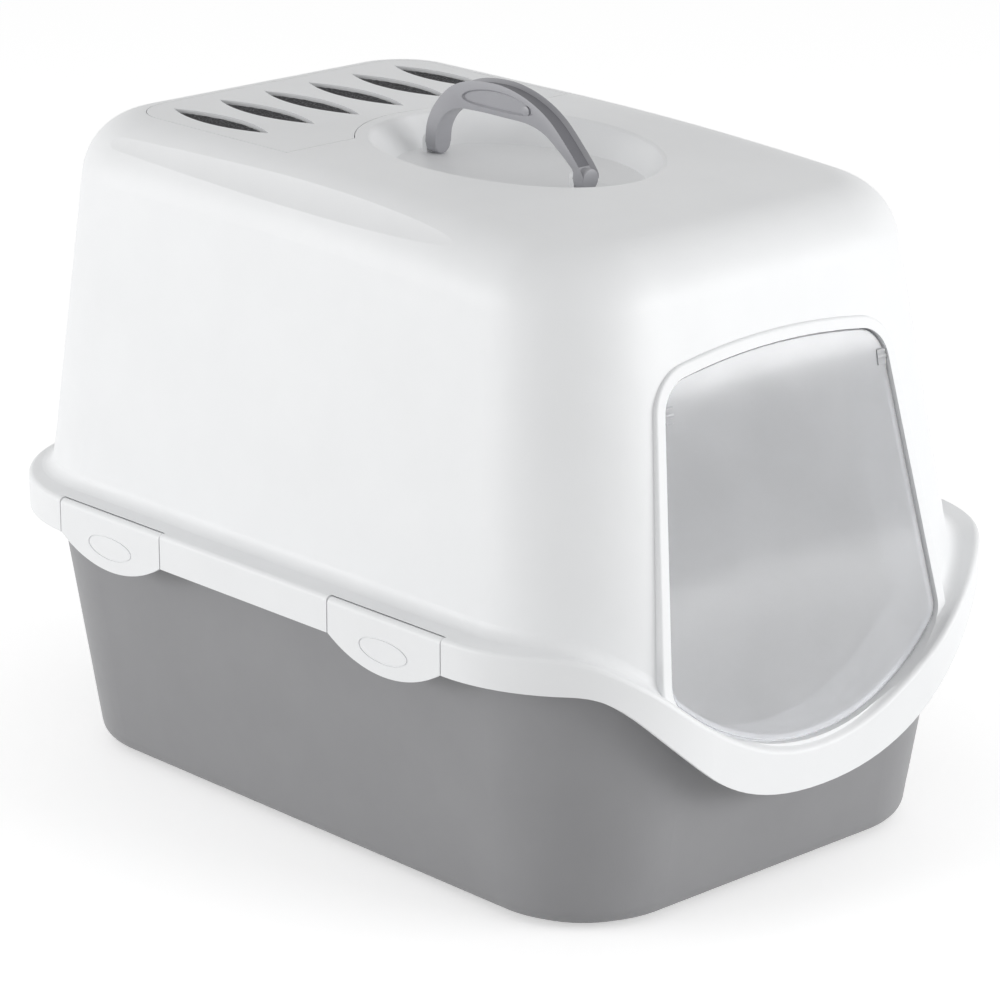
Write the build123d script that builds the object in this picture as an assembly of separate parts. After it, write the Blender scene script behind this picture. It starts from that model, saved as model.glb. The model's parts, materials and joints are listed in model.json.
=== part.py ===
from build123d import *
import os

# Covered litter box: tapered tray, domed hood with a drooping front lip, four side clips,
# a clear swing door, a folding carry handle and a filter under a slotted vent cover.
# Millimetres, +Z up, the door faces -Y, X is the width, the floor is z = 0.

# Overall plan of the skirt
WIDTH = 400.0
LENGTH = 560.0
SKIRT_CORNER = 108.0
WALL = 3.0
SAME = 0.3

# Skirt heights on the sides, and the droop of the front lip at points across the width
SKIRT_TOP = 182.0
SKIRT_LOW = 160.0
LIP_TOP = ((0.0, 98.0), (40.0, 104.0), (70.0, 117.0), (100.0, 136.0), (125.0, 156.0), (150.0, 173.5))
LIP_TOP_END = WIDTH / 2 - 24.0
LIP_LOW = ((0.0, 72.5), (50.0, 79.0), (80.0, 92.0), (105.0, 111.0), (130.0, 134.0), (150.0, 152.0))
LIP_LOW_END = WIDTH / 2 - 28.0
LIP_SHARE = WIDTH / 400.0
SKIRT_EDGE = 3.0
SKIRT_BASE = 20.0

# Dome of the hood: half width, front and rear of the plan at two heights
DOME_LOW_Z = 182.0
DOME_LOW_HALF = WIDTH / 2 - 23.5
DOME_LOW_FRONT = 21.0 - LENGTH / 2
DOME_LOW_REAR = LENGTH / 2 - 12.0
DOME_LOW_CORNER = 81.0
DOME_HIGH_Z = 363.0
DOME_HIGH_HALF = WIDTH / 2 - 45.3
DOME_HIGH_FRONT = 54.0 - LENGTH / 2
DOME_HIGH_REAR = LENGTH / 2 - 30.6
DOME_HIGH_CORNER = 67.0
DOME_BASE = 60.0
DOME_BLEND = 8.0
ROOF_Z = 407.0
ROOF_EDGE = 42.0
ROOF_LEVEL_FROM = 60.0
ROOF_FALL = 14.0
ROOF_OVER = 12.0
ROOF_SPLIT_Z = 345.0
CREASE_RADIUS = 60.0
CREASE_DEPTH = 1.3
CREASE_TILT = 0.8
CREASE_REAR = 120.0

# Tray
TRAY_HALF = WIDTH / 2 - 44.0
TRAY_END = LENGTH / 2 - 41.0
TRAY_CORNER = 66.0
TRAY_TOP_HALF = WIDTH / 2 - 22.0
TRAY_TOP_END = LENGTH / 2 - 13.0
TRAY_TOP_CORNER = 86.0
TRAY_WALL = 3.0
TRAY_EDGE = 12.0
PLINTH_HEIGHT = 3.0
PLINTH_INSET = 14.0
RIM_GAP = 3.0
RIM_THICK = 3.0
RIM_SIDE_GAP = 6.0

# Door opening in the front wall, measured in the X-Z plane
DOOR_SILL_Z = 101.0
DOOR_SILL_HALF = WIDTH / 2 - 87.5
DOOR_SILL_CORNER_Z = 148.0
DOOR_HEAD_Z = 328.5
DOOR_HEAD_HALF = WIDTH / 2 - 110.0
DOOR_HEAD_CORNER_Z = 320.0
DOOR_LOW_RADIUS = 16.0
DOOR_HIGH_RADIUS = 22.0
DOOR_GAP = 1.2
DOOR_THICK = 2.4
DOOR_FRONT_GAP = 0.3
DOOR_BACK_GAP = 0.6
DOOR_EDGE = 0.8
BEAD_WIDTH = 7.0
BEAD_HEIGHT = 2.2
BEAD_EDGE = 1.6
COLLAR_DEPTH = 38.0
COLLAR_WALL = 2.5
STOP_WIDTH = 4.0
STOP_DEPTH = 3.0
STOP_UNDER_PIVOT = 14.0
PIVOT_Z = 303.0
PIVOT_RADIUS = 2.5
PIVOT_CLEARANCE = 0.1
PIVOT_BOSS_RADIUS = 6.5
PIVOT_BOSS_LENGTH = 5.0
PIVOT_REACH = 8.0
EYE_RADIUS = 5.0
EYE_RISE = 0.8

# Side clips
CLIP_LENGTH = 96.0
CLIP_FRONT_Y = 157.5 - LENGTH / 2
CLIP_REAR_Y = LENGTH / 2 - 152.0
CLIP_THICK = 3.0
CLIP_SAG = 14.0
CLIP_END_GAP = 1.0
CLIP_PIN_RADIUS = 1.5
CLIP_PIN_LENGTH = 4.0
CLIP_PIN_CLEARANCE = 0.1
CLIP_BARREL = 3.4
CLIP_BARREL_CLEARANCE = 0.6
CLIP_BLOCK = 6.0
CLIP_PAD_LENGTH = 42.0
CLIP_PAD_HEIGHT = 15.0
CLIP_PAD_RISE = 0.7
HOOK_REACH = 10.0
HOOK_THICK = 3.0
HOOK_LENGTH = 30.0
HOOK_GAP = 1.0

# Handle well in the roof
WELL_HALF_X = 80.0
WELL_HALF_Y = 104.0
WELL_Y = -22.0
WELL_DEPTH = 18.0
WELL_SLOPE = 16.0
WELL_EDGE = 3.0

# Carry handle
HANDLE_WIDTH = 13.0
HANDLE_FOOT_GAP = 0.5
HANDLE_LEG = 9.0
HANDLE_REAR_Y = 54.0
HANDLE_FRONT_Y = -75.0
HANDLE_OUTER = (
    (52.5, 408.0), (46.0, 420.5), (33.0, 433.0), (18.0, 439.5), (0.0, 442.0),
    (-18.0, 441.5), (-38.0, 436.5), (-56.0, 427.0), (-72.5, 412.0), (-83.0, 400.5),
)
HANDLE_INNER = (
    (43.5, 406.0), (37.0, 415.5), (26.0, 421.5), (8.0, 423.0), (-16.0, 423.0),
    (-36.0, 422.5), (-50.0, 419.0), (-62.0, 411.5), (-72.0, 404.0), (-75.5, 400.5),
)
PANEL_Y = -10.0
PANEL_Z = 431.5
PANEL_LENGTH = 62.0
PANEL_HEIGHT = 12.0
PANEL_DEPTH = 1.0
HANDLE_PIN_RADIUS = 2.0
HANDLE_PIN_CLEARANCE = 0.1
LUG_WIDTH = 9.0
LUG_THICK = 4.0
LUG_GAP = 0.8
PIN_SHORT = 0.5

# Vent cover and filter
VENT_HALF = WIDTH / 2 - 85.0
VENT_FRONT = 56.0
VENT_REAR = LENGTH / 2 - 72.0
VENT_CORNER = 30.0
VENT_THICK = 3.0
VENT_GAP = 0.5
VENT_LEDGE = 7.0
VENT_WELL_MARGIN = 6.0
SLOT_COUNT = 6
SLOT_PITCH = 36.4
SLOT_FRONT = 101.0
SLOT_REAR = 192.0
SLOT_WIDTH = 21.0
FILTER_THICK = 8.0
FILTER_GAP = 0.5
FILTER_FRONT = 90.0
GRATE_BAR = 8.0
GRATE_THICK = 2.5


def box_between(low, high):
    """Box between two corners."""
    size = [h - l for l, h in zip(low, high)]
    middle = [(h + l) / 2 for l, h in zip(low, high)]
    return Pos(*middle) * Box(*size)


def plan_face(half, front, rear, corner, z):
    """Rounded rectangle between a front and a rear, at height z."""
    middle = (front + rear) / 2
    return Pos(0, middle, z) * RectangleRounded(2 * half, rear - front, corner)


def between(low, high, z, z_low, z_high):
    """Value at height z on the straight line through two heights."""
    return low + (high - low) * (z - z_low) / (z_high - z_low)


def dome_plan(z):
    """Half width, front, rear and corner radius of the dome's plan at height z."""
    half = between(DOME_LOW_HALF, DOME_HIGH_HALF, z, DOME_LOW_Z, DOME_HIGH_Z)
    front = between(DOME_LOW_FRONT, DOME_HIGH_FRONT, z, DOME_LOW_Z, DOME_HIGH_Z)
    rear = between(DOME_LOW_REAR, DOME_HIGH_REAR, z, DOME_LOW_Z, DOME_HIGH_Z)
    corner = between(DOME_LOW_CORNER, DOME_HIGH_CORNER, z, DOME_LOW_Z, DOME_HIGH_Z)
    return half, front, rear, corner


def dome_face(z, wall):
    """Plan of the dome at height z, moved inwards by wall."""
    half, front, rear, corner = dome_plan(z)
    return plan_face(half - wall, front + wall, rear - wall, corner - wall, z)


def on_dome(point):
    """Whether a point lies on the dome's outer wall."""
    half, front, rear, corner = dome_plan(point.Z)
    x = abs(point.X) - half + corner
    y = point.Y - rear + corner if point.Y > 0 else front + corner - point.Y
    out = (x * x + y * y) ** 0.5 if x > 0 and y > 0 else max(x, y)
    return abs(out - corner) < SAME


def roof_prism(drop):
    """Everything below the roof line, which is level at the rear and falls to the front."""
    top = ROOF_Z - drop
    reach = LENGTH
    level = Line((reach, top), (ROOF_LEVEL_FROM, top))
    fall = ThreePointArc(
        (ROOF_LEVEL_FROM, top),
        ((ROOF_LEVEL_FROM + DOME_HIGH_FRONT) / 2, top - ROOF_FALL / 4),
        (DOME_HIGH_FRONT, top - ROOF_FALL),
    )
    corners = (
        (DOME_HIGH_FRONT, top - ROOF_FALL),
        (-reach, top - 2 * ROOF_FALL),
        (-reach, 0),
        (reach, 0),
        (reach, top),
    )
    face = Plane.YZ * make_face(level + fall + Polyline(*corners))
    return extrude(face, WIDTH, both=True)


def dome(wall, z_base):
    """Solid dome, moved inwards by wall, with its roof edge rounded."""
    body = loft([dome_face(z_base, wall), dome_face(ROOF_Z + ROOF_OVER, wall)], ruled=True)
    body = body & roof_prism(wall)
    high = [e for e in body.edges() if e.center().Z > DOME_HIGH_Z]
    roof_edges = [e for e in high if e.bounding_box().size.Z < 2 * ROOF_FALL]
    return fillet(roof_edges, ROOF_EDGE - wall)


def below_curve(points, end, level, drop):
    """Solid below a smooth curve that droops across the front, in the front half, lowered by drop."""
    right = [(x * LIP_SHARE, z) for x, z in points[1:]] + [(end, level)]
    left = [(-x, z) for x, z in reversed(right)]
    curve = Spline(*(left + [points[0]] + right), tangents=((1, 0), (1, 0)))
    corners = (
        (end, level),
        (WIDTH, level),
        (WIDTH, -level),
        (-WIDTH, -level),
        (-WIDTH, level),
        (-end, level),
    )
    face = Plane.XZ * make_face(curve + Polyline(*corners))
    whole = Pos(0, 0, -drop) * extrude(face, LENGTH)
    half = whole & box_between((-2 * WIDTH, -2 * LENGTH, -LENGTH), (0, 0, LENGTH))
    return half + mirror(half, Plane.YZ)


def below_skirt(drop):
    """Solid below the top of the skirt, front and rear, lowered by drop."""
    rear = Pos(0, LENGTH / 2, SKIRT_TOP - drop - LENGTH / 2) * Box(2 * WIDTH, LENGTH, LENGTH)
    return below_curve(LIP_TOP, LIP_TOP_END, SKIRT_TOP, drop) + rear


def below_band():
    """Solid below the lower edge of the skirt's band."""
    rear = Pos(0, LENGTH / 2, SKIRT_LOW - LENGTH / 2) * Box(2 * WIDTH, LENGTH, LENGTH)
    return below_curve(LIP_LOW, LIP_LOW_END, SKIRT_LOW, 0) + rear


def skirt_prism(inset):
    """Upright prism of the skirt's plan, moved inwards by inset."""
    face = RectangleRounded(WIDTH - 2 * inset, LENGTH - 2 * inset, SKIRT_CORNER - inset)
    return extrude(Pos(0, 0, SKIRT_BASE) * face, SKIRT_TOP)


def opening_outline(grow):
    """Door opening in the X-Z plane, grown outwards by grow."""
    sill = ThreePointArc(
        (-DOOR_SILL_HALF, DOOR_SILL_CORNER_Z),
        (0, DOOR_SILL_Z),
        (DOOR_SILL_HALF, DOOR_SILL_CORNER_Z),
    )
    head = ThreePointArc(
        (DOOR_HEAD_HALF, DOOR_HEAD_CORNER_Z),
        (0, DOOR_HEAD_Z),
        (-DOOR_HEAD_HALF, DOOR_HEAD_CORNER_Z),
    )
    right = Line((DOOR_SILL_HALF, DOOR_SILL_CORNER_Z), (DOOR_HEAD_HALF, DOOR_HEAD_CORNER_Z))
    left = Line((-DOOR_HEAD_HALF, DOOR_HEAD_CORNER_Z), (-DOOR_SILL_HALF, DOOR_SILL_CORNER_Z))
    face = make_face(sill + right + head + left)
    low = [v for v in face.vertices() if v.Y < (DOOR_SILL_CORNER_Z + DOOR_HEAD_CORNER_Z) / 2]
    face = fillet(low, DOOR_LOW_RADIUS)
    high = [v for v in face.vertices() if v.Y > DOOR_HEAD_CORNER_Z - 2 * DOOR_HIGH_RADIUS]
    face = fillet(high, DOOR_HIGH_RADIUS)
    return offset(face, amount=grow) if grow else face


def opening_prism(grow):
    """Door opening run through the front wall along Y."""
    face = Plane.XZ * opening_outline(grow)
    return extrude(face, LENGTH)


def front_y(z):
    """Outer face of the front wall at height z."""
    return between(DOME_LOW_FRONT, DOME_HIGH_FRONT, z, DOME_LOW_Z, DOME_HIGH_Z)


def front_slab(near, far):
    """Slab along the leaning front wall, from near to far behind its outer face."""
    low, high = DOME_BASE, ROOF_Z
    corners = (
        (front_y(low) + near, low),
        (front_y(high) + near, high),
        (front_y(high) + far, high),
        (front_y(low) + far, low),
    )
    face = Plane.YZ * make_face(Polyline(*corners, close=True))
    return extrude(face, WIDTH / 2, both=True)


PIVOT_Y = front_y(PIVOT_Z) + DOOR_THICK / 2 + DOOR_FRONT_GAP
STOP_TOP = PIVOT_Z - STOP_UNDER_PIVOT


def pivot_half():
    """Half width of the opening at the pivot's height."""
    share = (PIVOT_Z - DOOR_SILL_CORNER_Z) / (DOOR_HEAD_CORNER_Z - DOOR_SILL_CORNER_Z)
    return DOOR_SILL_HALF + (DOOR_HEAD_HALF - DOOR_SILL_HALF) * share


def x_cylinder(radius, x_from, x_to, y, z):
    """Cylinder along X between two places."""
    length = abs(x_to - x_from)
    return Pos((x_from + x_to) / 2, y, z) * Rot(0, 90, 0) * Cylinder(radius, length)


def y_cylinder(radius, y_from, y_to, x, z):
    """Cylinder along Y between two places."""
    return Pos(x, (y_from + y_to) / 2, z) * Rot(90, 0, 0) * Cylinder(radius, abs(y_to - y_from))


# Clip places: the hinge line lies inside the band, near the top of the skirt
CLIP_X = WIDTH / 2 - CLIP_BARREL
CLIP_Z = SKIRT_TOP - CLIP_BARREL - 0.5
RIM_TOP = SKIRT_TOP - WALL - RIM_GAP
RIM_LOW = RIM_TOP - RIM_THICK
CLIP_PLACES = {"front": CLIP_FRONT_Y, "rear": CLIP_REAR_Y}
SIDES = {"left": -1, "right": 1}


def clip_room(side, y):
    """Room cut in the skirt for one clip."""
    half = CLIP_LENGTH / 2 + CLIP_END_GAP
    x_in = CLIP_X - CLIP_BARREL - CLIP_BARREL_CLEARANCE
    room = box_between((x_in, y - half, SKIRT_LOW - 30), (WIDTH, y + half, CLIP_Z))
    room += y_cylinder(CLIP_BARREL + CLIP_BARREL_CLEARANCE, y - half, y + half, CLIP_X, CLIP_Z)
    room += box_between((CLIP_X, y - half, CLIP_Z), (WIDTH, y + half, SKIRT_TOP + 1))
    return room if side > 0 else mirror(room, Plane.YZ)


def clip_blocks(side, y):
    """Two bearing blocks behind the band, one at each end of a clip."""
    half = CLIP_LENGTH / 2 + CLIP_END_GAP
    blocks = None
    for end in (-1, 1):
        y_near = y + end * half
        y_far = y + end * (half + CLIP_BLOCK)
        low = (CLIP_X - CLIP_BARREL, min(y_near, y_far), CLIP_Z - CLIP_BARREL)
        high = (WIDTH / 2 - WALL / 2, max(y_near, y_far), SKIRT_TOP - WALL / 2)
        block = box_between(low, high)
        blocks = block if blocks is None else blocks + block
    return blocks if side > 0 else mirror(blocks, Plane.YZ)


def clip_bores(side, y):
    """Bores for a clip's two end pins."""
    half = CLIP_LENGTH / 2 + CLIP_END_GAP + CLIP_PIN_LENGTH
    bore = y_cylinder(CLIP_PIN_RADIUS + CLIP_PIN_CLEARANCE, y - half, y + half, CLIP_X, CLIP_Z)
    return bore if side > 0 else mirror(bore, Plane.YZ)


def clip(side, y):
    """Side clip: barrel and end pins, an outer tab with a finger pad, and a hook under the rim."""
    half = CLIP_LENGTH / 2
    outer = WIDTH / 2
    inner = outer - CLIP_THICK
    barrel = y_cylinder(CLIP_BARREL, y - half, y + half, CLIP_X, CLIP_Z)
    pin_half = half + CLIP_PIN_LENGTH
    pins = y_cylinder(CLIP_PIN_RADIUS, y - pin_half, y + pin_half, CLIP_X, CLIP_Z)
    bow = ThreePointArc((y - half, SKIRT_LOW), (y, SKIRT_LOW - CLIP_SAG), (y + half, SKIRT_LOW))
    sides = Polyline((y + half, SKIRT_LOW), (y + half, CLIP_Z), (y - half, CLIP_Z), (y - half, SKIRT_LOW))
    tab = Pos(inner, 0, 0) * extrude(Plane.YZ * make_face(bow + sides), CLIP_THICK)
    pad_z = (CLIP_Z + SKIRT_LOW - CLIP_SAG) / 2 - 1
    pad_face = Plane.YZ * (Pos(y, pad_z) * Ellipse(CLIP_PAD_LENGTH / 2, CLIP_PAD_HEIGHT / 2))
    pad = Pos(outer - CLIP_THICK / 2, 0, 0) * extrude(pad_face, CLIP_THICK / 2)
    groove_face = Plane.YZ * (Pos(y, pad_z) * (
        Ellipse(CLIP_PAD_LENGTH / 2, CLIP_PAD_HEIGHT / 2)
        - Ellipse(CLIP_PAD_LENGTH / 2 - 1, CLIP_PAD_HEIGHT / 2 - 1)
    ))
    groove = Pos(outer - CLIP_PAD_RISE, 0, 0) * extrude(groove_face, CLIP_PAD_RISE)
    hook_top = RIM_LOW - HOOK_GAP
    hook = box_between(
        (inner - HOOK_REACH, y - HOOK_LENGTH / 2, hook_top - HOOK_THICK),
        (inner + 1, y + HOOK_LENGTH / 2, hook_top),
    )
    whole = barrel + pins + tab + pad + hook - groove
    return whole if side > 0 else mirror(whole, Plane.YZ)


def vent_outline(grow):
    """Plan of the vent cover, grown outwards by grow, clear of the handle well."""
    middle = (VENT_FRONT + VENT_REAR) / 2
    face = Pos(0, middle) * Rectangle(2 * (VENT_HALF + grow), VENT_REAR - VENT_FRONT + 2 * grow)
    rear = [v for v in face.vertices() if v.Y > middle]
    face = fillet(rear, VENT_CORNER + grow)
    ledge = VENT_LEDGE - grow
    return face - Pos(0, WELL_Y) * Ellipse(WELL_HALF_X + ledge, WELL_HALF_Y + ledge)


def filter_outline(grow):
    """Plan of the filter pad, grown by grow."""
    half = VENT_HALF - VENT_LEDGE - VENT_WELL_MARGIN / 2
    rear = VENT_REAR - VENT_LEDGE - VENT_WELL_MARGIN / 2
    middle = (FILTER_FRONT + rear) / 2
    length = rear - FILTER_FRONT
    return Pos(0, middle) * RectangleRounded(2 * (half + grow), length + 2 * grow, VENT_CORNER / 2)


def slot_outline(index):
    """One leaf-shaped slot, pointed at both ends."""
    x = (index - (SLOT_COUNT - 1) / 2) * SLOT_PITCH
    middle = (SLOT_FRONT + SLOT_REAR) / 2
    near = ThreePointArc((x, SLOT_FRONT), (x - SLOT_WIDTH / 2, middle), (x, SLOT_REAR))
    far = ThreePointArc((x, SLOT_REAR), (x + SLOT_WIDTH / 2, middle), (x, SLOT_FRONT))
    return make_face(near + far)


VENT_LOW = ROOF_Z - VENT_THICK
WELL_FLOOR = ROOF_Z - WELL_DEPTH
HANDLE_PIVOT_Z = WELL_FLOOR + HANDLE_WIDTH / 2 + HANDLE_FOOT_GAP
FILTER_TOP = VENT_LOW - FILTER_GAP
FILTER_LOW = FILTER_TOP - FILTER_THICK
POCKET_FLOOR = FILTER_LOW - VENT_GAP


def well_solid(grow, rise):
    """Oval well for the handle, with sloping sides."""
    top = ROOF_Z + WALL
    floor = ROOF_Z - WELL_DEPTH - rise
    upper = Pos(0, WELL_Y, top) * Ellipse(WELL_HALF_X + grow, WELL_HALF_Y + grow)
    lower = Pos(0, WELL_Y, floor) * Ellipse(WELL_HALF_X - WELL_SLOPE + grow, WELL_HALF_Y - WELL_SLOPE + grow)
    return loft([lower, upper], ruled=True)


FEET = (HANDLE_REAR_Y, HANDLE_FRONT_Y)


def handle_lugs():
    """Two bearing lugs that stand on the floor of the well, each behind one of the handle's feet."""
    lugs = None
    for foot_y in FEET:
        y_near = foot_y + LUG_GAP
        y_far = y_near + LUG_THICK
        block = box_between(
            (-LUG_WIDTH / 2, y_near, WELL_FLOOR - 1),
            (LUG_WIDTH / 2, y_far, HANDLE_PIVOT_Z),
        )
        block += y_cylinder(LUG_WIDTH / 2, y_near, y_far, 0, HANDLE_PIVOT_Z)
        lugs = block if lugs is None else lugs + block
    return lugs


def thin_dome(outer, inner):
    """Wall of the dome, down to the underside of the skirt's top."""
    return outer - inner - below_skirt(WALL)


def run(edge):
    """How far an edge runs in plan, between its two ends."""
    near, far = edge @ 0, edge @ 1
    return abs(near.X - far.X) + abs(near.Y - far.Y)


def on_skirt_top(edge):
    """Whether an edge runs along the top of the skirt's outer face."""
    middle = edge @ 0.5
    corner_x = WIDTH / 2 - SKIRT_CORNER
    corner_y = LENGTH / 2 - SKIRT_CORNER
    at_side = abs(abs(middle.X) - WIDTH / 2) < SAME or abs(abs(middle.Y) - LENGTH / 2) < SAME
    at_corner = abs(middle.X) > corner_x and abs(middle.Y) > corner_y
    lip_low = between(LIP_LOW[0][1], SKIRT_LOW, abs(middle.X), 0, LIP_LOW_END) + DOME_BLEND
    at_top = middle.Z > SKIRT_TOP - SAME or (middle.Y < -corner_y and middle.Z > lip_low)
    return (at_side or at_corner) and at_top and run(edge) > SAME


def on_dome_foot(edge):
    """Whether an edge is in the corner between the dome's wall and the top of the skirt."""
    ends = [edge @ share for share in (0.05, 0.35, 0.65, 0.95)]
    lowest = min(end.Z for end in ends)
    highest = max(end.Z for end in ends)
    on_wall = all(on_dome(end) for end in ends)
    in_height = lowest > LIP_TOP[0][1] - WALL / 2 and highest < SKIRT_TOP + SAME
    return on_wall and in_height and run(edge) > DOME_BLEND


def skirt(inner):
    """Skirt round the dome: a top plate and an outer band that droop together at the front."""
    blank = skirt_prism(0) & (below_skirt(0) - below_band())
    blank = fillet([e for e in blank.edges() if on_skirt_top(e)], SKIRT_EDGE)
    blank -= skirt_prism(WALL) & below_skirt(WALL)
    return blank - inner


def on_front(edge, depth):
    """Whether an edge lies in the plane at that depth behind the front wall's outer face."""
    middle = edge @ 0.5
    return abs(middle.Y - front_y(middle.Z) - depth) < SAME / 6


def door_frame(shell):
    """Door opening, its raised bead outside, and its collar and stop inside."""
    bead = (opening_prism(BEAD_WIDTH) & front_slab(-BEAD_HEIGHT, WALL)) - below_skirt(WALL)
    raised = [e for e in bead.edges() if on_front(e, -BEAD_HEIGHT) and e.length > BEAD_WIDTH]
    bead = fillet(raised, BEAD_EDGE)
    collar = opening_prism(COLLAR_WALL) & front_slab(WALL / 2, COLLAR_DEPTH)
    door_back = DOOR_THICK + DOOR_BACK_GAP
    stop = opening_prism(1) & front_slab(door_back, door_back + STOP_DEPTH)
    stop -= opening_prism(-STOP_WIDTH)
    stop -= Pos(0, 0, STOP_TOP + LENGTH / 2) * Box(WIDTH, 2 * LENGTH, LENGTH)
    shell += bead + collar
    shell -= opening_prism(0) & front_slab(-2 * DOME_BLEND, 2 * COLLAR_DEPTH)
    return shell + stop


def door_bearings(shell):
    """Bosses and bores for the door's two pins."""
    half = pivot_half()
    for side in (-1, 1):
        boss_end = half + PIVOT_BOSS_LENGTH
        boss = x_cylinder(PIVOT_BOSS_RADIUS, side * (half - 0.5), side * boss_end, PIVOT_Y, PIVOT_Z)
        boss = (boss & front_slab(WALL / 2, COLLAR_DEPTH)) - opening_prism(0)
        shell += boss
        radius = PIVOT_RADIUS + PIVOT_CLEARANCE
        shell -= x_cylinder(radius, side * (half - PIVOT_REACH), side * (boss_end - 1), PIVOT_Y, PIVOT_Z)
    return shell


def on_well_rim(edge):
    """Whether an edge is where the roof turns down into the handle's well."""
    middle = edge @ 0.5
    high = middle.Z > ROOF_Z - ROOF_FALL / 2 - 1
    over = abs(middle.X) < WELL_HALF_X + WALL and abs(middle.Y - WELL_Y) < WELL_HALF_Y + WALL
    return edge.geom_type != GeomType.LINE and high and over


def creases():
    """Long rounded cutters that leave a shallow trough under each side edge of the roof."""
    edge_z = ROOF_Z - ROOF_EDGE
    edge_x = dome_plan(edge_z)[0] - ROOF_EDGE
    out = (ROOF_EDGE - CREASE_DEPTH + CREASE_RADIUS) * 0.5 ** 0.5
    x = edge_x + out
    z = edge_z + out
    long = Rot(90, 0, 0) * Cylinder(CREASE_RADIUS, 3 * LENGTH)
    right = Pos(x, CREASE_REAR, z) * Rot(CREASE_TILT, 0, 0) * long
    return right + mirror(right, Plane.YZ)


def handle_well(shell, outer):
    """Oval well for the handle, with the bearing lugs on its floor."""
    shell += well_solid(WALL, WALL) & outer
    shell -= well_solid(0, 0)
    shell = fillet([e for e in shell.edges() if on_well_rim(e)], WELL_EDGE)
    shell += handle_lugs()
    radius = HANDLE_PIN_RADIUS + HANDLE_PIN_CLEARANCE
    for foot_y in FEET:
        shell -= y_cylinder(radius, foot_y, foot_y + LUG_GAP + LUG_THICK + 1, 0, HANDLE_PIVOT_Z)
    return shell


def filter_pocket(shell, outer):
    """Pocket for the vent cover, with a well for the filter and a grate under it."""
    low = POCKET_FLOOR - GRATE_THICK
    block = extrude(Pos(0, 0, low) * filter_outline(WALL), FILTER_TOP - low)
    ledge = extrude(Pos(0, 0, VENT_LOW - WALL) * vent_outline(WALL), WALL + 2 * VENT_THICK)
    shell += ((block + ledge) & outer) - well_solid(0, 0)
    shell -= extrude(Pos(0, 0, VENT_LOW) * vent_outline(VENT_GAP), 2 * VENT_THICK)
    shell -= extrude(Pos(0, 0, POCKET_FLOOR) * filter_outline(VENT_GAP), ROOF_Z)
    half_open = (SLOT_PITCH - GRATE_BAR) / 2
    for index in range(SLOT_COUNT):
        x = (index - (SLOT_COUNT - 1) / 2) * SLOT_PITCH
        low = (x - half_open, SLOT_FRONT, POCKET_FLOOR - 2 * GRATE_THICK)
        high = (x + half_open, SLOT_REAR, POCKET_FLOOR + 1)
        shell -= box_between(low, high)
    return shell


def hood(outer):
    """White hood: dome, skirt with its drooping lip, door frame, roof wells and clip bearings."""
    inner = dome(WALL, DOME_BASE - 10)
    shell = thin_dome(outer, inner)
    shell += skirt(inner)
    shell = fillet([e for e in shell.edges() if on_dome_foot(e)], DOME_BLEND)
    shell -= creases()
    shell = door_frame(shell)
    shell = door_bearings(shell)
    shell = handle_well(shell, outer)
    shell = filter_pocket(shell, outer)
    for side in SIDES.values():
        for y in CLIP_PLACES.values():
            shell += clip_blocks(side, y)
            shell -= clip_room(side, y)
            shell -= clip_bores(side, y)
    return shell


def above(z):
    """Everything above height z."""
    return Pos(0, 0, z + LENGTH / 2) * Box(2 * WIDTH, 2 * LENGTH, LENGTH)


def base_tray():
    """Grey tray: tapered tub on a plinth, its rim turned out and drooping under the front lip."""
    top = RIM_TOP
    lower = plan_face(TRAY_HALF, -TRAY_END, TRAY_END, TRAY_CORNER, PLINTH_HEIGHT)
    upper = plan_face(TRAY_TOP_HALF, -TRAY_TOP_END, TRAY_TOP_END, TRAY_TOP_CORNER, top)
    tub = loft([lower, upper], ruled=True)
    tub = fillet(tub.faces().sort_by(Axis.Z)[0].edges(), TRAY_EDGE)
    inner_low = plan_face(
        TRAY_HALF - TRAY_WALL, -TRAY_END + TRAY_WALL, TRAY_END - TRAY_WALL,
        TRAY_CORNER - TRAY_WALL, PLINTH_HEIGHT + TRAY_WALL,
    )
    inner_high = plan_face(
        TRAY_TOP_HALF - TRAY_WALL, -TRAY_TOP_END + TRAY_WALL, TRAY_TOP_END - TRAY_WALL,
        TRAY_TOP_CORNER - TRAY_WALL, top,
    )
    hollow = loft([inner_low, inner_high], ruled=True)
    hollow = fillet(hollow.faces().sort_by(Axis.Z)[0].edges(), TRAY_EDGE - TRAY_WALL)
    rim_plate = skirt_prism(WALL + RIM_SIDE_GAP) & below_skirt(WALL + RIM_GAP)
    rim_plate -= below_skirt(WALL + RIM_GAP + RIM_THICK)
    tray = (tub & below_skirt(WALL + RIM_GAP)) + rim_plate - hollow
    plinth_face = RectangleRounded(
        2 * (TRAY_HALF - PLINTH_INSET), 2 * (TRAY_END - PLINTH_INSET), TRAY_CORNER - PLINTH_INSET,
    )
    tray += extrude(plinth_face, PLINTH_HEIGHT + 1)
    return tray


def swing_door():
    """Clear door, flush with the leaning front, with a pin at each top corner."""
    door = opening_prism(-DOOR_GAP) & front_slab(0, DOOR_THICK)
    door = fillet([e for e in door.edges() if on_front(e, 0)], DOOR_EDGE)
    half = pivot_half()
    for side in (-1, 1):
        pin_end = half + PIVOT_BOSS_LENGTH - 1.5
        root = side * (half - PIVOT_REACH)
        door += x_cylinder(PIVOT_RADIUS, root, side * pin_end, PIVOT_Y, PIVOT_Z)
        eye = x_cylinder(EYE_RADIUS, root, side * (half - DOOR_GAP), PIVOT_Y, PIVOT_Z)
        door += eye & front_slab(-EYE_RISE, 2 * EYE_RADIUS)
    return door


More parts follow.
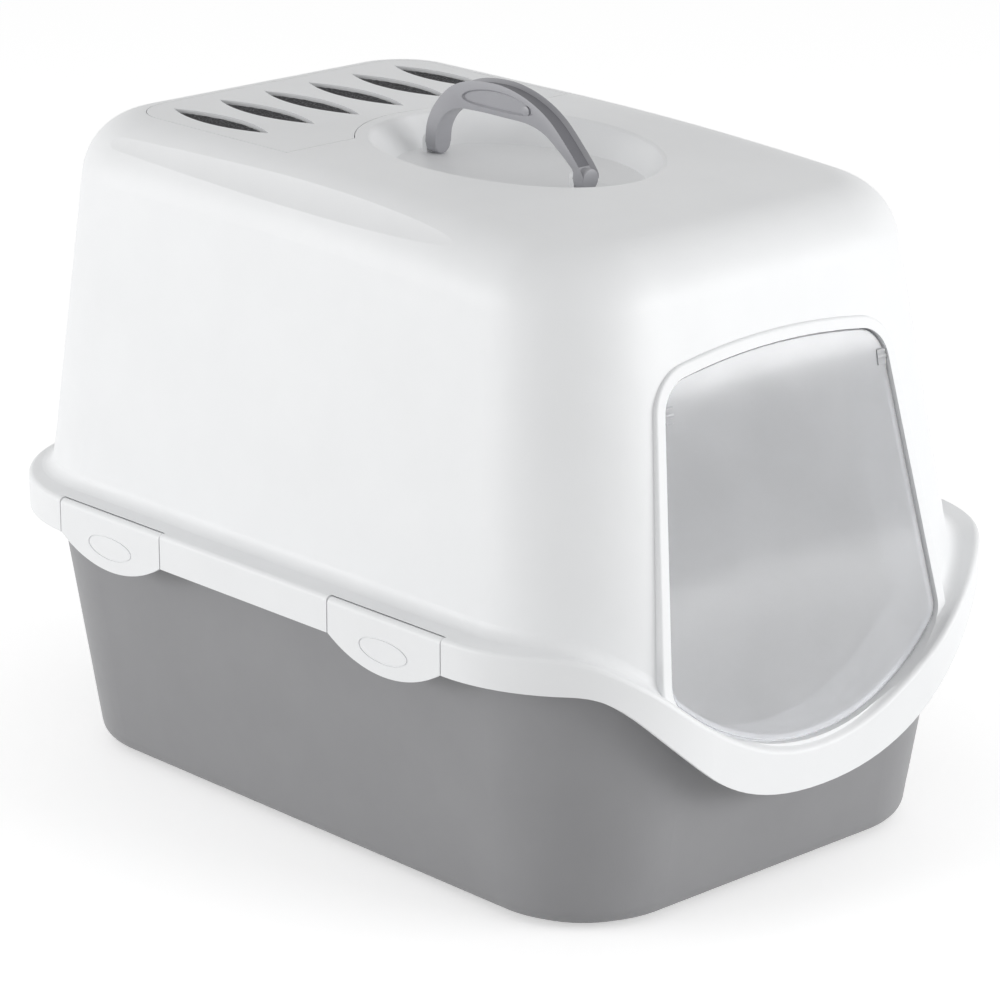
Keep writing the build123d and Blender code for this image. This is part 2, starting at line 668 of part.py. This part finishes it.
def carry_handle():
    """Grey arched handle with round feet, an oval panel in each face and a pin behind each foot."""
    foot = HANDLE_PIVOT_Z
    rear_out, rear_in = (HANDLE_REAR_Y, foot), (HANDLE_REAR_Y - HANDLE_LEG, foot)
    front_in, front_out = (HANDLE_FRONT_Y, foot), (HANDLE_FRONT_Y - HANDLE_LEG, foot)
    outer = Spline(*[rear_out, *HANDLE_OUTER, front_out])
    inner = Spline(*[front_in, *reversed(HANDLE_INNER), rear_in])
    ends = Line(front_out, front_in) + Line(rear_in, rear_out)
    body = extrude(Plane.YZ * make_face(outer + ends + inner), HANDLE_WIDTH / 2, both=True)
    for foot_y in FEET:
        pin_end = foot_y + LUG_GAP + LUG_THICK - PIN_SHORT
        body += y_cylinder(HANDLE_WIDTH / 2, foot_y - HANDLE_LEG, foot_y, 0, foot)
        body += y_cylinder(HANDLE_PIN_RADIUS, foot_y - HANDLE_LEG, pin_end, 0, foot)
    panel = Plane.YZ * (Pos(PANEL_Y, PANEL_Z) * Ellipse(PANEL_LENGTH / 2, PANEL_HEIGHT / 2))
    for side in (-1, 1):
        x = side * (HANDLE_WIDTH / 2 - PANEL_DEPTH)
        body -= Pos(x, 0, 0) * extrude(panel, side * 2 * PANEL_DEPTH)
    return body


def vent_cover(outer):
    """Roof panel with six leaf-shaped slots, flush with the dome."""
    cover = extrude(Pos(0, 0, VENT_LOW) * vent_outline(0), 2 * VENT_THICK) & outer
    for index in range(SLOT_COUNT):
        cover -= extrude(Pos(0, 0, VENT_LOW - 1) * slot_outline(index), 3 * VENT_THICK)
    return cover


def charcoal_filter():
    """Foam pad under the vent cover."""
    return extrude(Pos(0, 0, FILTER_LOW) * filter_outline(0), FILTER_THICK)


os.makedirs("parts", exist_ok=True)
outer_dome = dome(0, DOME_BASE)
export_step(base_tray(), "parts/base_tray.step")
whole_hood = hood(outer_dome)
export_step(whole_hood - above(ROOF_SPLIT_Z), "parts/hood.step")
export_step(whole_hood & above(ROOF_SPLIT_Z), "parts/hood_roof.step")
export_step(swing_door(), "parts/swing_door.step")
export_step(carry_handle(), "parts/carry_handle.step")
export_step(vent_cover(outer_dome), "parts/vent_cover.step")
export_step(charcoal_filter(), "parts/charcoal_filter.step")
for place, clip_y in CLIP_PLACES.items():
    for hand, clip_side in SIDES.items():
        export_step(clip(clip_side, clip_y), f"parts/clip_{place}_{hand}.step")
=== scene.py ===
import json
import math

import bpy
from bpy.props import FloatProperty, PointerProperty, StringProperty
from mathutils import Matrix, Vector

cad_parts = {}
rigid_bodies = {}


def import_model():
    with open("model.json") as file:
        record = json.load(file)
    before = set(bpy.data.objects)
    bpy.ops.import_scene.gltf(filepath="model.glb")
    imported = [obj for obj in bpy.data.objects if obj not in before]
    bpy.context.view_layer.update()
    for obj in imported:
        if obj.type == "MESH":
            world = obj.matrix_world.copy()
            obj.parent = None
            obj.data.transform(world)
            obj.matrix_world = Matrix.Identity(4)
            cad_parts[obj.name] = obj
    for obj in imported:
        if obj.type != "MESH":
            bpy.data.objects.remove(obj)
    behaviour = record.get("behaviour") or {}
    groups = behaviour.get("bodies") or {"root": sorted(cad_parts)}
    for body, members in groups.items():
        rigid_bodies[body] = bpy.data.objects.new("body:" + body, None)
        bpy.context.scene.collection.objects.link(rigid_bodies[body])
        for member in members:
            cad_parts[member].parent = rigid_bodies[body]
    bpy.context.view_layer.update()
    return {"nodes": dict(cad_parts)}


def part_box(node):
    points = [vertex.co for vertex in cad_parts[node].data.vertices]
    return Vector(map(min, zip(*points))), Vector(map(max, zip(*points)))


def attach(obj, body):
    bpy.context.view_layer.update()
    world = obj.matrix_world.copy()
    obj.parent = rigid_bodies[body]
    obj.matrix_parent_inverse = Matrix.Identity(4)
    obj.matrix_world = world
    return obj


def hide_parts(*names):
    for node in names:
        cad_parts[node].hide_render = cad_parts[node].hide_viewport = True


for leftover in list(bpy.data.objects):
    bpy.data.objects.remove(leftover)

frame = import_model()

bl_info = {
    "name": "Covered litter box",
    "version": (1, 0, 0),
    "blender": (4, 5, 0),
    "location": "View3D > Sidebar > Litter box",
    "description": "Finishes, foam pad, carry handle and studio for a covered litter box",
    "category": "Object",
}

CLIPS = ("clip_front_left", "clip_front_right", "clip_rear_left", "clip_rear_right")
MM = 0.001

# Foam pad: its gap inside the CAD pad's box, and the leaves that swell under the vent slots
PAD_GAP = 0.4 * MM
SLOT_COUNT = 6
SLOT_PITCH = 36.4 * MM
SLOT_MIDDLE = 146.5 * MM
LEAF_HALF_LENGTH = 44.0 * MM
LEAF_HALF_WIDTH = 9.4 * MM
LEAF_DEPTH = 6.0 * MM
LEAF_RISE = 1.8 * MM

# Carry handle: its feet, pins and knobs, and its oval panels
FOOT_ENDS = (54.0 * MM, -75.0 * MM)
FOOT_LENGTH = 9.0 * MM
PIN_RADIUS = 2.0 * MM
PIN_LENGTH = 6.3 * MM
KNOB_RADIUS = 3.3 * MM
KNOB_DEPTH = 1.8 * MM
KNOB_SUNK = 1.3 * MM
KNOB_Y = -34.0 * MM
KNOB_Z = 429.6 * MM
PANEL_Y = -10.0 * MM
PANEL_Z = 432.0 * MM
PANEL_HALF_LENGTH = 30.0 * MM
PANEL_HALF_HEIGHT = 4.8 * MM
PANEL_DROP = 2.2 * MM
PANEL_FLARE = 3.0 * MM
CUTTER_DEPTH = 4.0 * MM

# Side view of the grip, as points (y, z) in millimetres, and a point that its top looks away from
GRIP_STEPS = 72
GRIP_OUTER = (
    (54.0, 396.0), (52.5, 408.0), (46.0, 420.5), (33.0, 433.0), (18.0, 439.5), (0.0, 442.0),
    (-18.0, 441.5), (-38.0, 436.5), (-56.0, 427.0), (-72.5, 412.0), (-83.0, 400.5), (-84.0, 396.0),
)
GRIP_INNER = (
    (45.0, 396.0), (43.5, 406.0), (37.0, 415.5), (26.0, 421.5), (8.0, 423.0), (-16.0, 423.0),
    (-36.0, 422.5), (-50.0, 419.0), (-62.0, 411.5), (-72.0, 404.0), (-75.5, 400.5), (-75.0, 396.0),
)
ARCH_CENTRE = Vector((0, -15 * MM, 400 * MM))


# Colour and node helpers

def srgb(code):
    """Linear colour of an sRGB hex code."""
    parts = [int(code[i:i + 2], 16) / 255 for i in (1, 3, 5)]
    linear = [p / 12.92 if p <= 0.04045 else ((p + 0.055) / 1.055) ** 2.4 for p in parts]
    return (*linear, 1.0)


def add(tree, kind, links=(), values=(), stops=(), **settings):
    """Adds a node with its settings, socket values, incoming links and colour stops."""
    node = tree.nodes.new(kind)
    for key, value in settings.items():
        setattr(node, key, value)
    for socket, value in values:
        node.inputs[socket].default_value = value
    for socket, source in links:
        tree.links.new(source, node.inputs[socket])
    for index, (place, code) in enumerate(stops):
        ramp = node.color_ramp.elements
        stop = ramp[index] if index < 2 else ramp.new(place)
        stop.position = place
        stop.color = srgb(code)
    return node


def blank_material(name):
    """Empty node material with its output."""
    material = bpy.data.materials.new(name)
    material.use_nodes = True
    tree = material.node_tree
    tree.nodes.clear()
    return material, tree, tree.nodes.new("ShaderNodeOutputMaterial")


def moulded(name, light, dark, grain_mm, grain_depth, smooth, rough, cloud_mm=45.0):
    """Injection-moulded plastic: a slow drift of tone, a fine spark-eroded grain and an uneven satin."""
    # Spark-eroded grain is about 0.1 mm. It is drawn some ten times coarser, so that it shows.
    material, tree, output = blank_material(name)
    place = add(tree, "ShaderNodeTexCoord").outputs["Object"]
    clouds = [("Scale", 1000 / cloud_mm), ("Detail", 3.0)]
    cloud = add(tree, "ShaderNodeTexNoise", [("Vector", place)], clouds)
    tone = add(tree, "ShaderNodeValToRGB", [("Fac", cloud.outputs["Fac"])], stops=[(0.3, dark), (0.7, light)])
    grain = add(
        tree, "ShaderNodeTexNoise", [("Vector", place)],
        [("Scale", 1000 / grain_mm), ("Detail", 2.0), ("Roughness", 0.6)],
    )
    relief = add(
        tree, "ShaderNodeBump", [("Height", grain.outputs["Fac"])],
        [("Strength", 0.6), ("Distance", grain_depth * MM)],
    )
    patch = add(tree, "ShaderNodeTexNoise", [("Vector", place)], [("Scale", 1000 / 9.0), ("Detail", 4.0)])
    limits = [("To Min", smooth), ("To Max", rough)]
    satin = add(tree, "ShaderNodeMapRange", [("Value", patch.outputs["Fac"])], limits)
    links = [
        ("Base Color", tone.outputs["Color"]),
        ("Roughness", satin.outputs["Result"]),
        ("Normal", relief.outputs["Normal"]),
    ]
    skin = add(tree, "ShaderNodeBsdfPrincipled", links, [("IOR", 1.49)])
    tree.links.new(skin.outputs["BSDF"], output.inputs["Surface"])
    return material


def clear_sheet(name, tint):
    """Clear polystyrene sheet: sharp reflections over a faintly tinted, see-through body."""
    material, tree, output = blank_material(name)
    place = add(tree, "ShaderNodeTexCoord").outputs["Object"]
    flow = add(tree, "ShaderNodeTexNoise", [("Vector", place)], [("Scale", 1000 / 60.0), ("Detail", 1.0)])
    tones = [(0.3, tint), (0.7, "#EAEBED")]
    tone = add(tree, "ShaderNodeValToRGB", [("Fac", flow.outputs["Fac"])], stops=tones)
    relief = add(
        tree, "ShaderNodeBump", [("Height", flow.outputs["Fac"])],
        [("Strength", 0.2), ("Distance", 0.4 * MM)],
    )
    wear = add(tree, "ShaderNodeTexNoise", [("Vector", place)], [("Scale", 1000 / 14.0), ("Detail", 3.0)])
    limits = [("To Min", 0.04), ("To Max", 0.09)]
    haze = add(tree, "ShaderNodeMapRange", [("Value", wear.outputs["Fac"])], limits)
    links = [
        ("Base Color", tone.outputs["Color"]),
        ("Roughness", haze.outputs["Result"]),
        ("Normal", relief.outputs["Normal"]),
    ]
    sheet = add(tree, "ShaderNodeBsdfPrincipled", links, [("IOR", 1.59), ("Transmission Weight", 0.66)])
    through = add(tree, "ShaderNodeBsdfTransparent", values=[("Color", srgb("#DCDCDF"))])
    path = add(tree, "ShaderNodeLightPath")
    both = add(tree, "ShaderNodeMixShader", [("Fac", path.outputs["Is Shadow Ray"])])
    tree.links.new(sheet.outputs["BSDF"], both.inputs[1])
    tree.links.new(through.outputs["BSDF"], both.inputs[2])
    tree.links.new(both.outputs["Shader"], output.inputs["Surface"])
    return material


def carbon_foam(name):
    """Open-cell foam loaded with activated carbon: near black, with cells that catch a little light."""
    material, tree, output = blank_material(name)
    place = add(tree, "ShaderNodeTexCoord").outputs["Object"]
    pores = [("Scale", 1000 / 1.8), ("Randomness", 1.0)]
    cells = add(tree, "ShaderNodeTexVoronoi", [("Vector", place)], pores)
    specks = add(tree, "ShaderNodeTexNoise", [("Vector", place)], [("Scale", 1000 / 1.1), ("Detail", 2.0)])
    tone = add(
        tree, "ShaderNodeValToRGB", [("Fac", specks.outputs["Fac"])],
        stops=[(0.42, "#1B1B1D"), (0.60, "#4A4A4D"), (0.72, "#7C7C80")],
    )
    relief = add(
        tree, "ShaderNodeBump", [("Height", cells.outputs["Distance"])],
        [("Strength", 0.9), ("Distance", 0.8 * MM)],
    )
    foam = add(
        tree, "ShaderNodeBsdfPrincipled",
        [("Base Color", tone.outputs["Color"]), ("Normal", relief.outputs["Normal"])],
        [("Roughness", 0.95), ("IOR", 1.45)],
    )
    tree.links.new(foam.outputs["BSDF"], output.inputs["Surface"])
    return material


# Modelling helpers

def deselect():
    """Nothing stays selected, so that the next operator acts on the new piece alone."""
    if bpy.context.object and bpy.context.object.mode != "OBJECT":
        bpy.ops.object.mode_set(mode="OBJECT")
    bpy.ops.object.select_all(action="DESELECT")


def pick(piece):
    """Makes a piece the only selected one and the active one."""
    deselect()
    piece.select_set(True)
    bpy.context.view_layer.objects.active = piece


def named(name):
    """The object that the last operator added, with its name."""
    piece = bpy.context.object
    piece.name = name
    piece.data.name = name
    return piece


def settle(piece):
    """Puts the piece's place into its mesh, so that its object sits at the origin."""
    pick(piece)
    bpy.ops.object.transform_apply(location=True, rotation=True, scale=True)


def finish_modifier(piece, kind, **settings):
    """Adds a modifier and applies it."""
    pick(piece)
    modifier = piece.modifiers.new(kind.title(), kind)
    for key, value in settings.items():
        setattr(modifier, key, value)
    bpy.ops.object.modifier_apply(modifier=modifier.name)


def cut(piece, cutter):
    """Cuts one closed piece out of another and removes the cutter."""
    settle(cutter)
    finish_modifier(piece, "BOOLEAN", operation="DIFFERENCE", solver="EXACT", object=cutter)
    bpy.data.objects.remove(cutter)


def select_faces(piece, test):
    """Enters edit mode with only the faces selected that pass the test."""
    pick(piece)
    bpy.ops.object.mode_set(mode="EDIT")
    bpy.ops.mesh.select_mode(type="FACE")
    bpy.ops.mesh.select_all(action="DESELECT")
    bpy.ops.object.mode_set(mode="OBJECT")
    # Edit mode builds the mesh anew, so no face is held from before it.
    for face in piece.data.polygons:
        face.select = bool(test(face))
    bpy.ops.object.mode_set(mode="EDIT")


def face_outwards(piece):
    """Points all faces of a closed piece outwards."""
    select_faces(piece, lambda face: True)
    bpy.ops.mesh.normals_make_consistent(inside=False)
    bpy.ops.object.mode_set(mode="OBJECT")


def cylinder(name, radius, depth, place, along, vertices=64):
    """Cylinder primitive along X, Y or Z."""
    deselect()
    turn = {"X": (0, math.pi / 2, 0), "Y": (math.pi / 2, 0, 0), "Z": (0, 0, 0)}[along]
    bpy.ops.mesh.primitive_cylinder_add(
        vertices=vertices, radius=radius, depth=depth, location=place, rotation=turn,
    )
    piece = named(name)
    settle(piece)
    return piece


def join(pieces, name):
    """Joins pieces into the first."""
    deselect()
    for piece in pieces:
        piece.select_set(True)
    bpy.context.view_layer.objects.active = pieces[0]
    bpy.ops.object.join()
    return named(name)


def smooth(piece, degrees):
    """Smooth shading with creases kept above an angle."""
    pick(piece)
    bpy.ops.object.shade_smooth_by_angle(angle=math.radians(degrees))


def rounded(piece, width, segments):
    """Rounds a piece's sharp edges."""
    finish_modifier(piece, "BEVEL", width=width, segments=segments, limit_method="ANGLE", angle_limit=0.6)
    return piece


def dress(piece, material):
    """Gives a piece or a CAD node its material in every slot."""
    if not piece.material_slots:
        piece.data.materials.append(material)
    for held in piece.material_slots:
        held.material = material


# Settings

class LitterBoxFinish(bpy.types.PropertyGroup):
    hood_light: StringProperty(
        name="Hood, light tone", description="Lighter tone of the white polypropylene",
        default="#F0F1F2",
    )
    hood_dark: StringProperty(
        name="Hood, dark tone", description="Darker tone of the white polypropylene",
        default="#EEEFF0",
    )
    tray_light: StringProperty(
        name="Tray, light tone", description="Lighter tone of the grey polypropylene",
        default="#929294",
    )
    tray_dark: StringProperty(
        name="Tray, dark tone", description="Darker tone of the grey polypropylene",
        default="#8F8F91",
    )
    handle_light: StringProperty(
        name="Handle, light tone", description="Lighter tone of the handle's grey",
        default="#A6A6AA",
    )
    handle_dark: StringProperty(
        name="Handle, dark tone", description="Darker tone of the handle's grey",
        default="#9F9FA4",
    )
    # Painted shade: the channel's darker tone stands in for the shade that falls on the grip's top.
    channel_shade_tone: StringProperty(
        name="Handle channel", description="Painted shade on the floor of the grip's channel",
        default="#6E6E73",
    )
    door_tint: StringProperty(
        name="Door tint", description="Faint tint of the clear polystyrene",
        default="#E4E5E7",
    )


class LitterBoxHandle(bpy.types.PropertyGroup):
    rim: FloatProperty(
        name="Rim", description="Width of the raised rim along the grip",
        default=2.0 * MM, unit="LENGTH",
    )
    channel: FloatProperty(
        name="Channel depth", description="Depth of the grip's channel",
        default=2.4 * MM, unit="LENGTH",
    )
    panel_depth: FloatProperty(
        name="Panel depth", description="Depth of the oval panel in each face",
        default=1.5 * MM, unit="LENGTH",
    )
    edge: FloatProperty(
        name="Edge", description="Rounding of the handle's edges",
        default=0.9 * MM, unit="LENGTH",
    )


class LitterBoxStudio(bpy.types.PropertyGroup):
    side_power: FloatProperty(
        name="Side softbox", description="Power of the softbox on the clip side",
        default=33.5, unit="POWER",
    )
    front_power: FloatProperty(
        name="Front softbox", description="Power of the softbox on the door side",
        default=40.0, unit="POWER",
    )
    sky: FloatProperty(name="Sky", description="Strength of the even studio light", default=0.56, min=0.0)


# Pieces

class OBJECT_OT_litter_shell(bpy.types.Operator):
    """Gives the hood, vent cover, clips and tray their moulded polypropylene"""
    bl_idname = "object.litter_shell"
    bl_label = "Hood and tray finish"

    def execute(self, context):
        finish = context.scene.litter_finish
        # Spark-eroded polypropylene looks soft and milky, with a broad dull highlight and no mirror.
        light, dark = finish.hood_light, finish.hood_dark
        white = moulded("white satin polypropylene", light, dark, 0.9, 0.05, 0.42, 0.52)
        light, dark = finish.tray_light, finish.tray_dark
        grey = moulded("grey satin polypropylene", light, dark, 0.9, 0.08, 0.40, 0.52)
        for name in ("hood", "hood_roof", "vent_cover", *CLIPS):
            dress(frame["nodes"][name], white)
        dress(frame["nodes"]["base_tray"], grey)
        return {"FINISHED"}


class OBJECT_OT_litter_door(bpy.types.Operator):
    """Gives the swing door its clear polystyrene"""
    bl_idname = "object.litter_door"
    bl_label = "Swing door"

    def execute(self, context):
        # Clear polystyrene shows the inside of the hood and a crisp edge line.
        tint = context.scene.litter_finish.door_tint
        dress(frame["nodes"]["swing_door"], clear_sheet("clear polystyrene", tint))
        return {"FINISHED"}


class OBJECT_OT_litter_filter(bpy.types.Operator):
    """Models the activated carbon foam pad under the vent cover"""
    bl_idname = "object.litter_filter"
    bl_label = "Filter pad"

    def execute(self, context):
        low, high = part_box("charcoal_filter")
        size = high - low - 2 * Vector((PAD_GAP, PAD_GAP, PAD_GAP))
        deselect()
        bpy.ops.mesh.primitive_cube_add(size=1, location=(low + high) / 2, scale=size)
        pad = named("filter_pad")
        settle(pad)
        face_outwards(pad)
        # The foam swells about a millimetre into each slot, so the slots show less of their white walls.
        pad = join([pad, *(self.swelling(index, high.z) for index in range(SLOT_COUNT))], "filter_pad")
        finish_modifier(pad, "REMESH", mode="VOXEL", voxel_size=1.5 * MM)
        texture = bpy.data.textures.new("foam cells", "CLOUDS")
        texture.noise_scale = 2.6 * MM
        finish_modifier(
            pad, "DISPLACE", texture=texture, texture_coords="LOCAL", strength=0.5 * MM, mid_level=1.0,
        )
        smooth(pad, 60)
        # Reticulated foam drinks the light, so only grains of carbon show.
        dress(pad, carbon_foam("activated carbon foam"))
        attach(pad, "filter")
        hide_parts("charcoal_filter")
        return {"FINISHED"}

    def swelling(self, index, top):
        """Leaf-shaped swelling of the foam under one slot, pointed at both ends."""
        middle = (index - (SLOT_COUNT - 1) / 2) * SLOT_PITCH
        level = top + LEAF_RISE - LEAF_DEPTH / 2
        leaf = cylinder("swelling", 1.0, LEAF_DEPTH, (middle, SLOT_MIDDLE, level), "Z", 48)
        for vertex in leaf.data.vertices:
            share = vertex.co.y - SLOT_MIDDLE
            side = vertex.co.x - middle
            vertex.co.y = SLOT_MIDDLE + share * LEAF_HALF_LENGTH
            vertex.co.x = middle + math.copysign(LEAF_HALF_WIDTH * (1 - share ** 2), side)
        return leaf


class OBJECT_OT_litter_handle(bpy.types.Operator):
    """Models the folding handle: arched grip with a channel, oval side panels and round feet"""
    bl_idname = "object.litter_handle"
    bl_label = "Carry handle"

    def execute(self, context):
        sizes = context.scene.litter_handle
        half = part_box("carry_handle")[1].x
        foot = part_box("carry_handle")[0].z + half
        grip = self.grip(half, foot, sizes)
        for side in (-1, 1):
            self.panel(grip, side, half, sizes.panel_depth)
        parts = [grip]
        for side in (-1, 1):
            place = (side * (half - KNOB_SUNK), KNOB_Y, KNOB_Z)
            knob = cylinder("knob", KNOB_RADIUS, KNOB_DEPTH, place, "X", 40)
            parts.append(rounded(knob, 0.4 * MM, 2))
        for end in FOOT_ENDS:
            place = (0, end - FOOT_LENGTH / 2, foot)
            parts.append(rounded(cylinder("foot", half, FOOT_LENGTH, place, "Y", 64), 0.8 * MM, 3))
            parts.append(cylinder("pin", PIN_RADIUS, PIN_LENGTH, (0, end + 1.15 * MM, foot), "Y", 32))
        handle = join(parts, "carry_handle_moulded")
        smooth(handle, 35)
        finish = context.scene.litter_finish
        # The handle has the tray's grey in a slightly glossier skin, so its rims catch the light.
        light, dark = finish.handle_light, finish.handle_dark
        dress(handle, moulded("grey polished polypropylene", light, dark, 1.1, 0.03, 0.30, 0.42))
        # The channel's floor has a deeper grain, and its darker colour is painted shade: a dark band between
        # the rims.
        tone = finish.channel_shade_tone
        floor = moulded("grey polypropylene with painted channel shade", tone, tone, 0.9, 0.3, 0.50, 0.62)
        handle.data.materials.append(floor)
        # Faces of the channel floor, facing up and out of the arch, get the painted shade.
        for face in handle.data.polygons:
            out = Vector((0, face.center.y, face.center.z)) - ARCH_CENTRE
            top = face.normal.dot(out.normalized()) > 0.3 and face.center.z > foot + half + MM
            face.material_index = 1 if top and abs(face.center.x) < half - sizes.rim else 0
        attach(handle, "handle")
        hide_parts("carry_handle")
        return {"FINISHED"}

    def grip(self, half, foot, sizes):
        """Closed arch with a channel along its top, from a strip laid along the arch and thickened."""
        outer = smooth_line(GRIP_OUTER, GRIP_STEPS)
        inner = smooth_line(GRIP_INNER, GRIP_STEPS)
        deselect()
        bpy.ops.mesh.primitive_grid_add(
            x_subdivisions=GRIP_STEPS, y_subdivisions=1, size=2, location=(0, 0, 0),
        )
        grip = named("carry_handle_grip")
        for vertex in grip.data.vertices:
            line = outer if vertex.co.y > 0 else inner
            y, z = line[round((vertex.co.x + 1) / 2 * GRIP_STEPS)]
            vertex.co = (0, y * MM, z * MM)
        finish_modifier(grip, "SOLIDIFY", thickness=2 * half, offset=0)
        face_outwards(grip)

        def on_top(face):
            out = Vector((0, face.center.y, face.center.z)) - ARCH_CENTRE
            return abs(face.normal.x) < 0.1 and face.normal.dot(out) > 0 and face.center.z > foot + MM

        select_faces(grip, on_top)
        bpy.ops.mesh.inset(thickness=sizes.rim, depth=-sizes.channel)
        bpy.ops.object.mode_set(mode="OBJECT")
        finish_modifier(
            grip, "BEVEL", width=sizes.edge, segments=3, limit_method="ANGLE", angle_limit=math.radians(50),
        )
        return grip

    def panel(self, grip, side, half, depth):
        """Presses an oval panel into one face of the grip."""
        place = (side * (half - depth + CUTTER_DEPTH / 2), 0, 0)
        cutter = cylinder("panel", 1.0, CUTTER_DEPTH, place, "X", 72)
        for vertex in cutter.data.vertices:
            share = vertex.co.y
            wider = PANEL_FLARE if abs(vertex.co.x) > half else 0
            vertex.co.y = PANEL_Y + share * (PANEL_HALF_LENGTH + wider)
            vertex.co.z = PANEL_Z + vertex.co.z * (PANEL_HALF_HEIGHT + wider) - PANEL_DROP * share ** 2
        cut(grip, cutter)


def smooth_line(points, count):
    """Points at equal shares of a smooth line through the given ones."""
    ends = [points[0], *points, points[-1]]
    fine = []
    for p0, p1, p2, p3 in zip(ends, ends[1:], ends[2:], ends[3:]):
        for step in range(16):
            t = step / 16
            fine.append(tuple(
                0.5 * (
                    2 * b + (c - a) * t + (2 * a - 5 * b + 4 * c - d) * t * t
                    + (3 * b - a - 3 * c + d) * t ** 3
                )
                for a, b, c, d in zip(p0, p1, p2, p3)
            ))
    fine.append(points[-1])
    runs = [0.0]
    for near, far in zip(fine, fine[1:]):
        runs.append(runs[-1] + math.dist(near, far))
    line = []
    for step in range(count + 1):
        goal = runs[-1] * step / count
        index = max(i for i in range(len(runs) - 1) if runs[i] <= goal + 1e-9)
        share = (goal - runs[index]) / max(runs[index + 1] - runs[index], 1e-9)
        line.append(tuple(n + (f - n) * share for n, f in zip(fine[index], fine[index + 1])))
    return line


class OBJECT_OT_litter_studio(bpy.types.Operator):
    """Sets up the pale floor, the soft light and the camera"""
    bl_idname = "object.litter_studio"
    bl_label = "Studio"

    def execute(self, context):
        studio = context.scene.litter_studio
        self.floor()
        self.world(studio.sky)
        # The two softboxes stand far apart, so the corner between them stays a little darker.
        self.softbox("side softbox", Vector((-2.5, 1.44, 0.72)), studio.side_power)
        self.softbox("front softbox", Vector((1.44, -2.5, 0.72)), studio.front_power)
        self.camera()
        context.scene.view_settings.view_transform = "Standard"
        return {"FINISHED"}

    def shown(self, tree):
        """One where a camera, glossy or transmission ray looks, so that the backdrop is white there."""
        path = add(tree, "ShaderNodeLightPath").outputs
        seen = path["Is Camera Ray"]
        for other in ("Is Glossy Ray", "Is Transmission Ray"):
            seen = add(tree, "ShaderNodeMath", [(0, seen), (1, path[other])], operation="MAXIMUM").outputs[0]
        return seen

    def floor(self):
        deselect()
        bpy.ops.mesh.primitive_plane_add(size=30, location=(0, 0, 0))
        floor = named("studio_floor")
        settle(floor)
        material, tree, output = blank_material("white paper floor")
        # Matt paper is white to the eye and keeps the soft shadow round the tray.
        paper = add(tree, "ShaderNodeBsdfDiffuse", values=[("Color", srgb("#F0F0F0"))])
        lift = add(tree, "ShaderNodeMath", [(0, self.shown(tree))], [(1, 0.45)], operation="MULTIPLY")
        glow = add(tree, "ShaderNodeEmission", [("Strength", lift.outputs[0])])
        both = add(tree, "ShaderNodeAddShader", [(0, paper.outputs[0]), (1, glow.outputs[0])])
        tree.links.new(both.outputs[0], output.inputs["Surface"])
        dress(floor, material)

    def world(self, strength):
        world = bpy.data.worlds.new("even studio light")
        bpy.context.scene.world = world
        world.use_nodes = True
        tree = world.node_tree
        tree.nodes.clear()
        light = add(tree, "ShaderNodeBackground", values=[("Color", (1, 1, 1, 1)), ("Strength", strength)])
        white = add(tree, "ShaderNodeBackground", values=[("Color", (1, 1, 1, 1)), ("Strength", 1.0)])
        both = add(
            tree, "ShaderNodeMixShader",
            [(0, self.shown(tree)), (1, light.outputs[0]), (2, white.outputs[0])],
        )
        output = add(tree, "ShaderNodeOutputWorld", [("Surface", both.outputs[0])])
        output.is_active_output = True

    def softbox(self, name, place, power):
        deselect()
        target = Vector((0, 0, 0.3))
        turn = (place - target).to_track_quat("Z", "Y").to_euler()
        bpy.ops.object.light_add(type="AREA", location=place, rotation=turn)
        lamp = bpy.context.object
        lamp.name = name
        lamp.data.shape = "RECTANGLE"
        lamp.data.size = 2.2
        lamp.data.size_y = 1.0
        lamp.data.energy = power

    def camera(self):
        deselect()
        turn = (math.radians(90 - 18.07), 0, math.radians(-43.02))
        bpy.ops.object.camera_add(location=(-1.71516, -1.84373, 0.99982), rotation=turn)
        camera = bpy.context.object
        camera.name = "studio_camera"
        camera.data.lens = 154.63
        camera.data.sensor_width = 36.0
        bpy.context.scene.camera = camera


class VIEW3D_PT_litter_box(bpy.types.Panel):
    """Pieces of the litter box, in the order in which they are made"""
    bl_label = "Litter box"
    bl_space_type = "VIEW_3D"
    bl_region_type = "UI"
    bl_category = "Litter box"

    def draw(self, context):
        for name in STEPS:
            self.layout.operator("object." + name)
        for group in ("litter_finish", "litter_handle", "litter_studio"):
            settings = getattr(context.scene, group)
            for key in type(settings).__annotations__:
                self.layout.prop(settings, key)


STEPS = ("litter_shell", "litter_door", "litter_filter", "litter_handle", "litter_studio")
CLASSES = (
    LitterBoxFinish,
    LitterBoxHandle,
    LitterBoxStudio,
    OBJECT_OT_litter_shell,
    OBJECT_OT_litter_door,
    OBJECT_OT_litter_filter,
    OBJECT_OT_litter_handle,
    OBJECT_OT_litter_studio,
    VIEW3D_PT_litter_box,
)


def register():
    for item in CLASSES:
        bpy.utils.register_class(item)
    bpy.types.Scene.litter_finish = PointerProperty(type=LitterBoxFinish)
    bpy.types.Scene.litter_handle = PointerProperty(type=LitterBoxHandle)
    bpy.types.Scene.litter_studio = PointerProperty(type=LitterBoxStudio)


def unregister():
    for name in ("litter_finish", "litter_handle", "litter_studio"):
        delattr(bpy.types.Scene, name)
    for item in reversed(CLASSES):
        bpy.utils.unregister_class(item)


def main():
    register()
    for name in STEPS:
        getattr(bpy.ops.object, name)()


if __name__ == "__main__":
    main()
